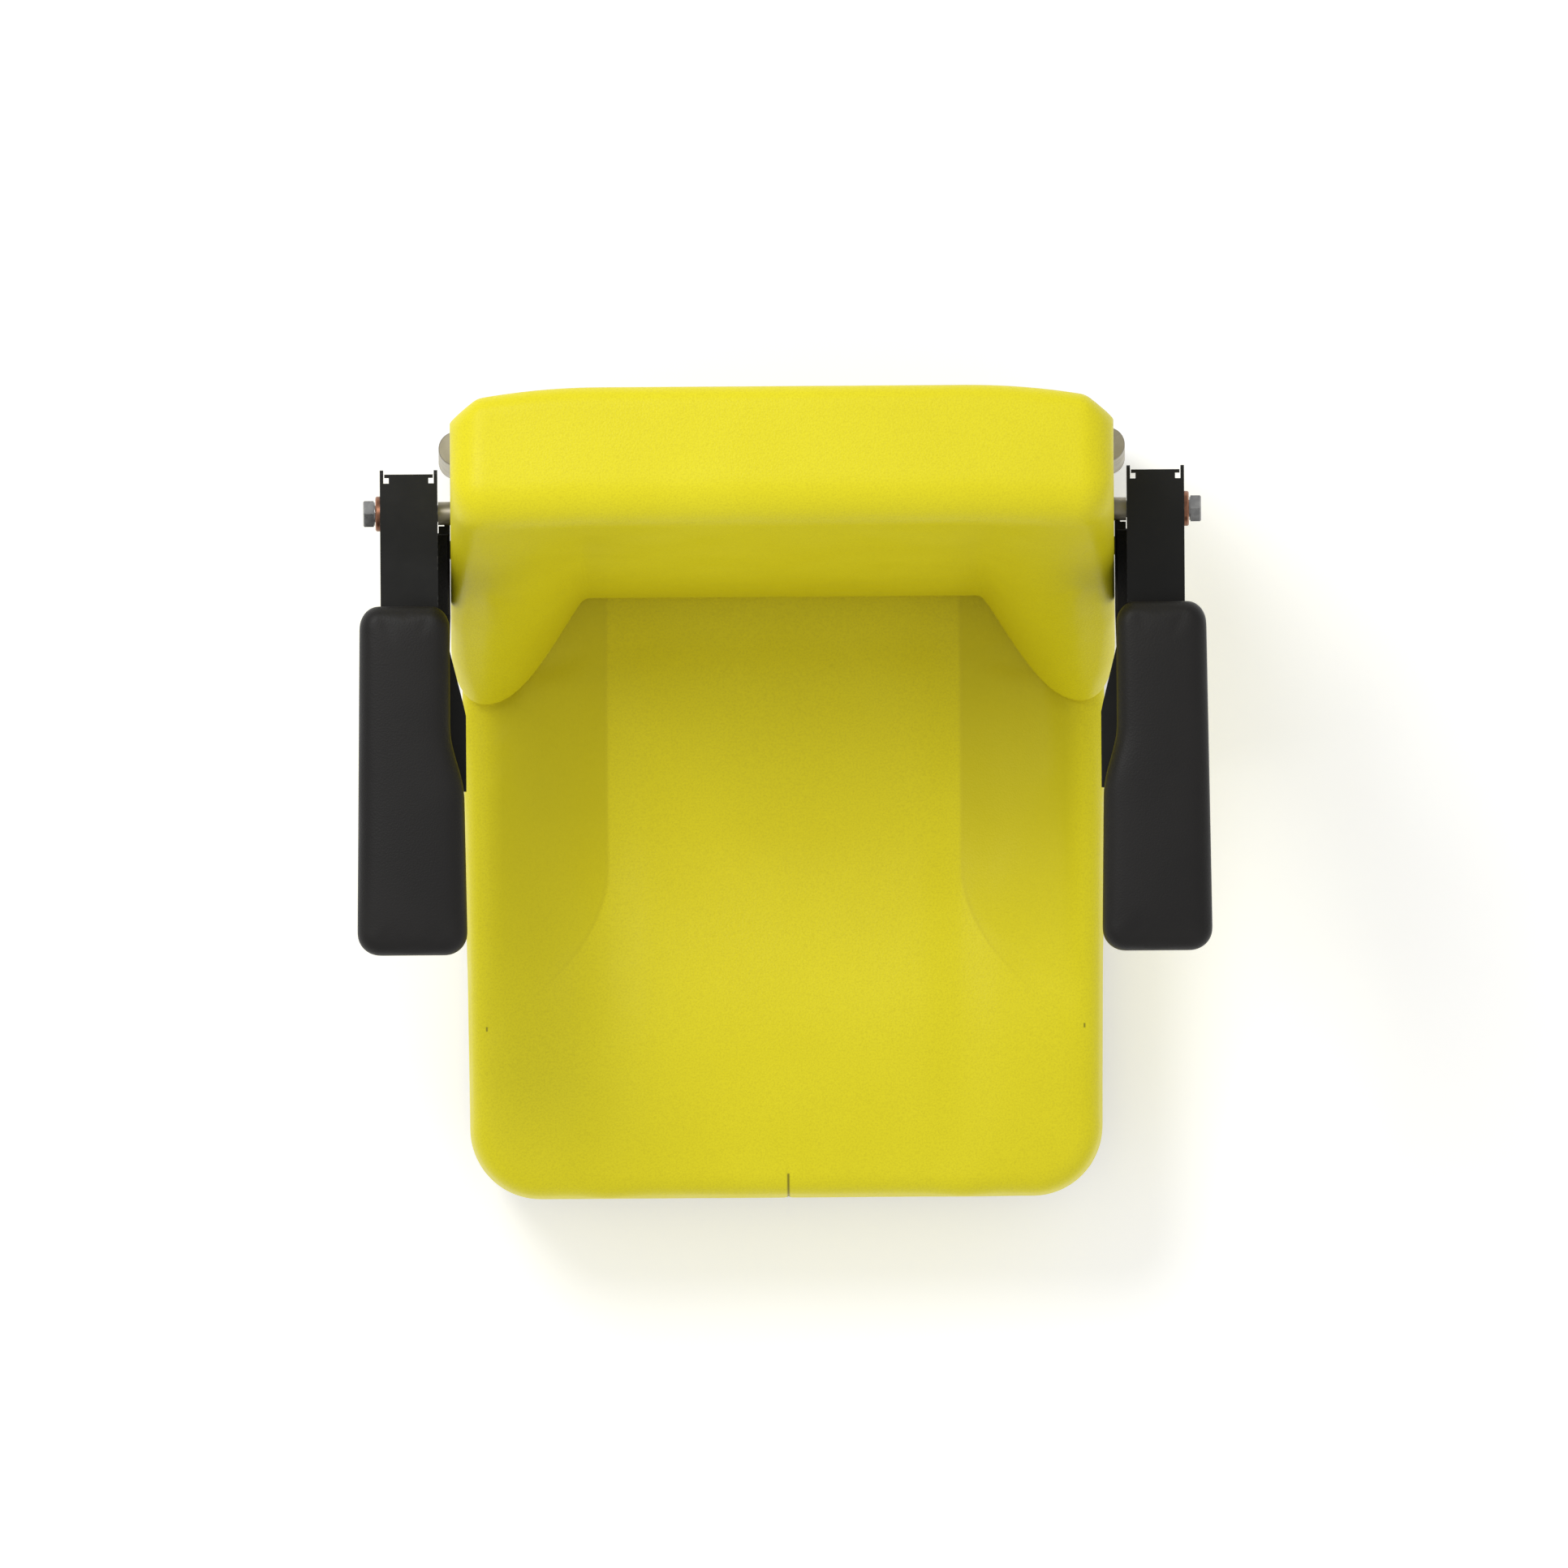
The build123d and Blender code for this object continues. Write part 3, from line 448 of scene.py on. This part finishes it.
def puffUp(piece, pressure, cap, ease):
    # Cloth under pressure swells the cover; each point keeps only its eased share of the move
    start = readPoints(piece)
    makeActive(piece)
    cloth = piece.modifiers.new("stuffing", "CLOTH")
    cloth.settings.quality = 4
    cloth.settings.use_pressure = True
    cloth.settings.uniform_pressure_force = pressure
    cloth.settings.effector_weights.gravity = 0.0
    cloth.settings.tension_stiffness = 40.0
    cloth.settings.compression_stiffness = 40.0
    cloth.settings.bending_stiffness = 2.0
    cloth.collision_settings.use_collision = False
    cloth.point_cache.frame_start = 1
    cloth.point_cache.frame_end = 20
    held = piece.vertex_groups.new(name="held")
    for index in np.nonzero(ease < 0.02)[0]:
        held.add([int(index)], 1.0, "REPLACE")
    cloth.settings.vertex_group_mass = "held"
    for step in range(1, 21):
        bpy.context.scene.frame_set(step)
    bpy.ops.object.modifier_apply(modifier=cloth.name)
    bpy.context.scene.frame_set(1)
    move = readPoints(piece) - start
    distance = np.linalg.norm(move, axis=1, keepdims=True)
    share = cap / (distance + cap)
    writePoints(piece, start + move * share * ease[:, None])
    piece.vertex_groups.clear()
    print(piece.name, "swelled by up to", round(float((distance * share * ease[:, None]).max()) * 1000, 1), "mm")


def finishSmooth(piece, finish, angle=50.0):
    makeActive(piece)
    bpy.ops.object.shade_smooth()
    bpy.ops.object.shade_smooth_by_angle(angle=math.radians(angle))
    piece.data.materials.clear()
    piece.data.materials.append(finish)


def subdivideOnce(piece):
    makeActive(piece)
    modifier = piece.modifiers.new("fine", "SUBSURF")
    modifier.levels = 1
    modifier.render_levels = 1
    bpy.ops.object.modifier_apply(modifier=modifier.name)


# Seat cushion: rolled rim, flat middle panel between two bolsters, nose that fades level

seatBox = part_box("seat_cushion")
pivotY = 0.170
seat = {
    "rear": seatBox[1].y,
    "nose": seatBox[0].y,
    "half": 0.2285,
    "noseHalf": 0.2245,
    "top": 0.145,
    "base": seatBox[0].z,
    "corner": 0.050,
    "roll": 0.0156,
    "panelHalf": 0.126,
    "panelDrop": 0.0165,
    "bolsterSlope": 0.26,
    "rimHalf": 0.209,
    "step": 0.0055,
    "seamX": 0.0012,
}


def seatTop(x, y):
    ahead = pivotY - y
    side = np.abs(x)
    rise = smoothStep(ahead, 0.225, 0.385)
    panel = seat["top"] - seat["panelDrop"] * (1 - rise)
    curve = np.clip((ahead - 0.250) / 0.118, 0, 1)
    crease = seat["panelHalf"] + (0.211 - seat["panelHalf"]) * curve ** 2.1
    steep = panel + seat["bolsterSlope"] * (side - crease)
    reach = np.clip(0.215 - 0.52 * (ahead - 0.141), 0.130, 0.207)
    drop = np.maximum(seat["panelDrop"] * (1 - rise) - seat["bolsterSlope"] * (reach - crease), 0)
    slope = drop / np.maximum(seat["rimHalf"] - reach, 0.004)
    outer = seat["top"] - slope * np.maximum(seat["rimHalf"] - side, 0)
    bolster = softMin(softMin(steep, outer, 0.0005), np.full_like(x, seat["top"] + 0.0004), 0.0005)
    height = np.where(side > crease, np.maximum(bolster, panel), panel)
    hollow = 0.0015 * np.clip(1 - (side / crease) ** 2, 0, 1) * (1 - rise)
    crown = 0.0012 * np.clip(1 - (side / 0.225) ** 2, 0, 1) * smoothStep(ahead, 0.36, 0.44)
    return height - hollow + crown


def buildSeat():
    middle = (seat["rear"] + seat["nose"]) / 2
    halfY = (seat["rear"] - seat["nose"]) / 2
    seamX = seat["seamX"]
    edgeX = rollLines(seat["half"], seat["roll"], 7)
    edgeY = rollLines(halfY, seat["roll"], 7)
    panel, step = seat["panelHalf"], seat["step"]
    # close lines hold the panel's edges and the nose seam crisp
    linesX = [-x for x in edgeX[:-1]] + evenLines(-edgeX[-1], -panel - 0.0016, step) + [-panel - 0.0016, -panel]
    linesX += evenLines(-panel + 0.0016, seamX - 0.0016, step)
    linesX += [seamX + offset for offset in (-0.0016, -0.0008, 0.0, 0.0008)]
    linesX += evenLines(seamX + 0.0016, panel - 0.0016, step) + [panel - 0.0016, panel]
    linesX += evenLines(panel + 0.0016, edgeX[-1], step) + edgeX[::-1]
    linesY = [-y for y in edgeY[:-1]] + evenLines(-edgeY[-1], edgeY[-1], seat["step"]) + edgeY[::-1]
    piece = layGrid("seat_cushion_cover", linesX, linesY)
    co = readPoints(piece)
    x, y, inset = roundPlan(co[:, 0], co[:, 1], seat["half"], halfY, seat["corner"])
    y = y + middle
    share = (seat["rear"] - y) / (2 * halfY)
    x = x * (1 - (1 - seat["noseHalf"] / seat["half"]) * share)
    roll = seat["roll"]
    inRoll = np.clip(roll - inset, 0, roll)
    drop = roll - np.sqrt(np.maximum(roll ** 2 - inRoll ** 2, 0))
    z = seatTop(x, y) - drop
    co[:, 0], co[:, 1], co[:, 2] = x, y, z
    writePoints(piece, co)
    wallTop = seat["top"] - roll
    base = seat["base"]
    levels = [(wallTop, 0), (0.118, 0.0004), (0.106, 0.0002), (0.094, -0.0002), (0.0835, -0.0006), (0.0815, -0.0019),
              (0.0795, -0.0006), (0.070, -0.0002), (0.058, -0.0006), (0.048, -0.0014), (0.0415, -0.0032),
              (0.0375, -0.0060), (base + 0.0006, -0.0100), (base, -0.0140)]

    def tuck(change):
        return (1 + change / seat["half"], 1 + change / halfY, (0, middle, 0))

    dropWalls(piece, levels, tuck)
    co = readPoints(piece)
    # the walls' edge follows the rim, so the base is brought level, and the seam is pressed in
    low = co[:, 2] < base + 0.004
    co[low, 2] = np.clip(co[low, 2], base, None)
    offset = np.abs(co[:, 0] - seat["seamX"])
    seamDepth = 0.0011 * np.clip(1 - offset / 0.0014, 0, 1) * smoothStep(-co[:, 1], 0.300, 0.304)
    onTop = co[:, 2] > wallTop + 0.004
    co[:, 1] += np.where(onTop, 0, seamDepth)
    co[:, 2] -= np.where(onTop, seamDepth, 0)
    writePoints(piece, co)
    return piece


seatCover = buildSeat()
place = readPoints(seatCover)
top = smoothStep(place[:, 2], 0.120, 0.1305)
wall = (1 - top) * smoothStep(place[:, 2], 0.044, 0.070) * smoothStep(-place[:, 2], -0.126, -0.110)
clear = smoothStep(-place[:, 1], -0.085, -0.050)
crease = np.abs(np.abs(place[:, 0]) - seat["panelHalf"])
sewn = 0.1 + 0.9 * smoothStep(crease, 0.0, 0.030)
puffUp(seatCover, 4.0, 0.0022, np.clip(top * clear * sewn + 0.25 * wall, 0, 1))
print("seat cushion shaped:", len(seatCover.data.polygons), "faces")


# Backrest: leaning slab with a rounded top, chamfered rear corners and wings that swing forward

back = {
    "half": 0.236,
    "lean": math.radians(9.0),
    "thick": 0.096,
    "topFrontY": pivotY - 0.006,
    "topZ": 0.501,
    "bottomZ": 0.1458,
    "reach": 0.077,
    "crease": 0.141,
    "tip": 0.211,
    "frontRound": 0.030,
    "rearRound": 0.014,
    "sideRound": 0.024,
    "edgeShares": (0.0, 0.17, 0.50, 0.78, 1.0),
    "edgeStarts": (0.211, 0.220, 0.2290, 0.2240, 0.211),
    "edgeDepths": (0.024, 0.015, 0.010, 0.020, 0.044),
    "seamDown": 0.036,
    "bulge": 0.004,
}


def wingShape(side):
    # How far a wing has come forward: a crease at its root, then a full curve out to the tip
    t = np.clip((side - back["crease"]) / (back["tip"] - back["crease"]), 0, 1)
    return np.sin(0.5 * math.pi * t) ** 1.1


def profilePoints():
    # One loop in the middle of the slab: (down from the top, behind the front face)
    points = []
    slab = back["thick"]
    length = (back["topZ"] - back["bottomZ"]) / math.cos(back["lean"])
    rearLength = length - slab * math.tan(back["lean"])
    foot = 0.007
    for angle in (0, 22, 45, 68, 90):
        turn = math.radians(angle)
        points.append((length - foot * math.sin(turn), foot * (1 - math.sin(turn))))
    radius = back["frontRound"]
    rows = 46
    start = length - foot
    for k in range(1, rows + 1):
        points.append((start + (radius - start) * k / rows, 0.0))
    for k in range(1, 11):
        turn = math.pi / 2 * k / 10
        points.append((radius - radius * math.sin(turn), radius - radius * math.cos(turn)))
    small = back["rearRound"]
    for k in range(1, 11):
        points.append((0.0, radius + (slab - small - radius) * k / 10))
    for k in range(1, 7):
        turn = math.pi / 2 * k / 6
        points.append((small - small * math.cos(turn), slab - small + small * math.sin(turn)))
    seam = back["seamDown"]
    rearRows = [seam - 0.010, seam - 0.0022, seam - 0.0008, seam + 0.0008, seam + 0.0022, seam + 0.010]
    rearRows += [seam + 0.010 + (rearLength - foot - seam - 0.010) * k / 34 for k in range(1, 35)]
    points += [(down, slab) for down in rearRows]
    points += [(rearLength - 0.0021, slab - 0.0021), (rearLength, slab - foot)]
    rear = slab - foot
    points += [(length + (rearLength - length) * k / 14, foot + (rear - foot) * k / 14) for k in range(13, 0, -1)]
    return points


def buildBack():
    loop = profilePoints()
    half = back["half"]
    outer = [half - 0.025 * (1 - math.sin(math.pi / 2 * k / 11)) for k in range(12)]
    across = evenLines(0.0, back["crease"] - 0.006, 0.0062)
    across += evenLines(back["crease"] - 0.006, back["tip"], 0.0034)
    across = across + outer
    linesX = [-x for x in reversed(across[1:])] + across
    piece = layGrid("backrest_cushion_cover", linesX, list(range(len(loop) + 1)))
    co = readPoints(piece)
    index = np.rint(co[:, 1]).astype(int) % len(loop)
    down = np.array([p[0] for p in loop])[index]
    behind = np.array([p[1] for p in loop])[index]
    side = np.abs(co[:, 0])
    overEdge = np.clip(side - (half - back["sideRound"]), 0, back["sideRound"])
    topDrop = back["sideRound"] - np.sqrt(np.maximum(back["sideRound"] ** 2 - overEdge ** 2, 0))
    length = loop[0][0]
    down = down + topDrop * np.clip(1 - down / length, 0, 1)
    lean = back["lean"]
    # forward and up from the top front edge
    forward = down * math.sin(lean) - behind * math.cos(lean)
    z = back["topZ"] - down * math.cos(lean) - behind * math.sin(lean)
    z = np.maximum(z, back["bottomZ"])
    share = np.clip((back["topZ"] - z) / 0.356, 0, 1) ** 1.6
    depth = np.clip(behind / back["thick"], 0, 1)
    wing = (back["reach"] * share + 0.001) * wingShape(side)
    start = np.interp(share, back["edgeShares"], back["edgeStarts"])
    t = np.clip((side - start) / (half - start), 0, 1)
    edgeDepth = np.interp(share, back["edgeShares"], back["edgeDepths"])
    fall = edgeDepth * (1 - np.sqrt(np.maximum(1 - t * t, 0)))
    middle = np.clip(1 - (side / 0.150) ** 2, 0, 1)
    bulge = back["bulge"] * np.sin(math.pi * np.clip(down / length, 0, 1)) ** 2 * middle
    rearCurve = 0.0075 * np.clip((side - 0.130) / 0.0865, 0, 1) ** 2
    chamfer = 0.0145 * np.clip((side - 0.2165) / 0.0195, 0, 1)
    heel = 0.0024 * smoothStep(-down, -0.064, -0.030)
    seamRow = np.abs(down - back["seamDown"])
    groove = 0.0013 * np.clip(1 - seamRow / 0.0024, 0, 1) * smoothStep(-side, -0.212, -0.190) * (depth > 0.99)
    forward = forward + (1 - depth) * (wing - fall + bulge) + depth * (rearCurve + chamfer - heel) + groove
    co[:, 1] = back["topFrontY"] - forward
    co[:, 2] = z
    writePoints(piece, co)
    makeActive(piece)
    bpy.ops.object.mode_set(mode="EDIT")
    bpy.ops.mesh.select_all(action="SELECT")
    bpy.ops.mesh.remove_doubles(threshold=0.00002)
    bpy.ops.mesh.normals_make_consistent(inside=False)
    bpy.ops.object.mode_set(mode="OBJECT")
    return piece


backCover = buildBack()
place = readPoints(backCover)
front = smoothStep(-place[:, 1], -0.215, -0.180) * smoothStep(-np.abs(place[:, 0]), -0.226, -0.205)
clear = smoothStep(place[:, 2], 0.150, 0.185)
crease = np.abs(np.abs(place[:, 0]) - back["crease"])
sewn = 0.3 + 0.7 * smoothStep(crease, 0.0, 0.020)
low = smoothStep(-place[:, 2], -0.465, -0.400)
puffUp(backCover, 4.0, 0.0022, front * clear * sewn * low)
print("backrest shaped:", len(backCover.data.polygons), "faces")


# Armrest pads: moulded skin, waisted at the rear, rounded all round

pad = {
    "rear": pivotY - 0.066,
    "front": pivotY - 0.314,
    "low": 0.365,
    "high": 0.409,
    "outerRear": 0.3008,
    "outerFront": 0.3040,
    "waistInner": 0.2372,
    "innerFront": 0.2258,
    "waistStart": 0.157,
    "waistEnd": 0.193,
    "corner": 0.016,
    "roll": 0.011,
}


def buildPad(side, name):
    halfY = (pad["rear"] - pad["front"]) / 2
    middle = (pad["rear"] + pad["front"]) / 2
    halfX = 0.038
    edgeX = rollLines(halfX, pad["roll"], 7)
    edgeY = rollLines(halfY, pad["roll"], 7)
    linesX = [-x for x in edgeX[:-1]] + evenLines(-edgeX[-1], edgeX[-1], 0.003) + edgeX[::-1]
    linesY = [-y for y in edgeY[:-1]] + evenLines(-edgeY[-1], edgeY[-1], 0.004) + edgeY[::-1]
    piece = layGrid(name, linesX, linesY)
    co = readPoints(piece)
    x, y, inset = roundPlan(co[:, 0], co[:, 1], halfX, halfY, pad["corner"])
    inRoll = np.clip(pad["roll"] - inset, 0, pad["roll"])
    drop = pad["roll"] - np.sqrt(np.maximum(pad["roll"] ** 2 - inRoll ** 2, 0))
    crown = 0.0022 * np.clip(1 - (x / halfX) ** 2, 0, 1) * np.clip(1 - (y / halfY) ** 6, 0, 1)
    z = pad["high"] - 0.0022 + crown - drop
    co[:, 0], co[:, 1], co[:, 2] = x, y + middle, z
    writePoints(piece, co)
    low = pad["low"] + 0.0003
    wallTop = pad["high"] - 0.0022 - pad["roll"]
    levels = [(wallTop, 0), (0.391, 0.0003), (0.3835, 0.0), (0.3780, -0.0003), (0.3766, -0.0009), (0.3752, -0.0003),
              (0.371, -0.0008), (0.3675, -0.0022), (0.3659, -0.0042), (low, -0.0068)]

    def tuck(change):
        return (1 + change / halfX, 1 + change / halfY, (0, middle, 0))

    dropWalls(piece, levels, tuck)
    co = readPoints(piece)
    share = (co[:, 0] + halfX) / (2 * halfX)
    ahead = pivotY - co[:, 1]
    outer = pad["outerRear"] + (pad["outerFront"] - pad["outerRear"]) * (ahead - 0.066) / 0.248
    waist = smoothStep(ahead, pad["waistStart"] - 0.004, pad["waistEnd"] + 0.010)
    inner = pad["waistInner"] + (0.2275 - pad["waistInner"]) * waist
    inner = inner - 0.0017 * np.clip((ahead - 0.2) / 0.114, 0, 1)
    co[:, 0] = side * (inner + (outer - inner) * share)
    writePoints(piece, co)
    makeActive(piece)
    bpy.ops.object.mode_set(mode="EDIT")
    bpy.ops.mesh.select_all(action="SELECT")
    bpy.ops.mesh.normals_make_consistent(inside=False)
    bpy.ops.object.mode_set(mode="OBJECT")
    return piece


leftPad = buildPad(1, "left_arm_pad_skin")
rightPad = buildPad(-1, "right_arm_pad_skin")
for piece in (leftPad, rightPad):
    place = readPoints(piece)
    puffUp(piece, 4.0, 0.0012, smoothStep(place[:, 2], 0.394, 0.404))
print("armrest pads shaped:", len(leftPad.data.polygons), "faces each")

for piece, finish, node, body, slotName, fill in (
        (seatCover, seatVinyl, "seat_cushion", "seat", "yellow_vinyl", 0.85),
        (backCover, backVinyl, "backrest_cushion", "seat", "yellow_vinyl", 0.85),
        (leftPad, padSkin, "left_arm_pad", "left_armrest", "black_pad", 0.95),
        (rightPad, padSkin, "right_arm_pad", "right_armrest", "black_pad", 0.95)):
    subdivideOnce(piece)
    closeEnds(piece)
    finishSmooth(piece, finish)
    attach(piece, body)
    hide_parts(node)
print("padded pieces finished")


# Studio: pale floor, soft lights, camera straight above

studio = {
    "floorSize": 8.0,
    "floor": (0.93, 0.93, 0.925),
    "skyStrength": 0.60,
    "keyPower": 38.0,
    "fillPower": 6.0,
    "floorGlow": 0.34,
    "viewWidth": 1.115,
    "viewTurn": math.radians(-0.4),
    "viewCentre": (0.0, -0.024),
}


def buildFloor():
    deselectAll()
    bpy.ops.mesh.primitive_grid_add(x_subdivisions=4, y_subdivisions=4, size=studio["floorSize"], location=(0, 0, -0.0005))
    floor = bpy.context.object
    floor.name = "studio_floor"
    finish, tree, shader, place = startFinish("paleFloor")
    tone = addNoise(tree, place, 3.0, 2.0)
    shade = tuple(value * 0.985 for value in studio["floor"])
    tree.links.new(addMix(tree, tone, shade, studio["floor"]), shader.inputs["Base Color"])
    shader.inputs["Roughness"].default_value = 0.9
    shader.inputs["Emission Color"].default_value = (1.0, 1.0, 1.0, 1.0)
    shader.inputs["Emission Strength"].default_value = studio["floorGlow"]
    shader.inputs["Specular IOR Level"].default_value = 0.2
    floor.data.materials.append(finish)


def addSoftLight(name, place, aim, size, power):
    lamp = bpy.data.lights.new(name, "AREA")
    lamp.shape = "DISK"
    lamp.size = size
    lamp.energy = power
    holder = bpy.data.objects.new(name, lamp)
    bpy.context.scene.collection.objects.link(holder)
    holder.location = place
    direction = holder.location.copy()
    for axis in range(3):
        direction[axis] = aim[axis] - place[axis]
    holder.rotation_euler = direction.to_track_quat("-Z", "Y").to_euler()


buildFloor()
world = bpy.data.worlds.new("studioSky")
world.use_nodes = True
world.node_tree.nodes["Background"].inputs["Color"].default_value = (1.0, 1.0, 1.0, 1.0)
world.node_tree.nodes["Background"].inputs["Strength"].default_value = studio["skyStrength"]
bpy.context.scene.world = world
addSoftLight("keyLight", (-1.1, 1.35, 2.6), (0, 0, 0.3), 1.3, studio["keyPower"])
addSoftLight("fillLight", (1.5, -1.8, 2.2), (0, 0, 0.3), 2.4, studio["fillPower"])

lens = bpy.data.cameras.new("topCamera")
lens.type = "ORTHO"
lens.ortho_scale = studio["viewWidth"]
lens.clip_end = 50.0
camera = bpy.data.objects.new("topCamera", lens)
bpy.context.scene.collection.objects.link(camera)
camera.location = (*studio["viewCentre"], 3.0)
camera.rotation_euler = (0, 0, studio["viewTurn"])
bpy.context.scene.camera = camera
print("studio ready")
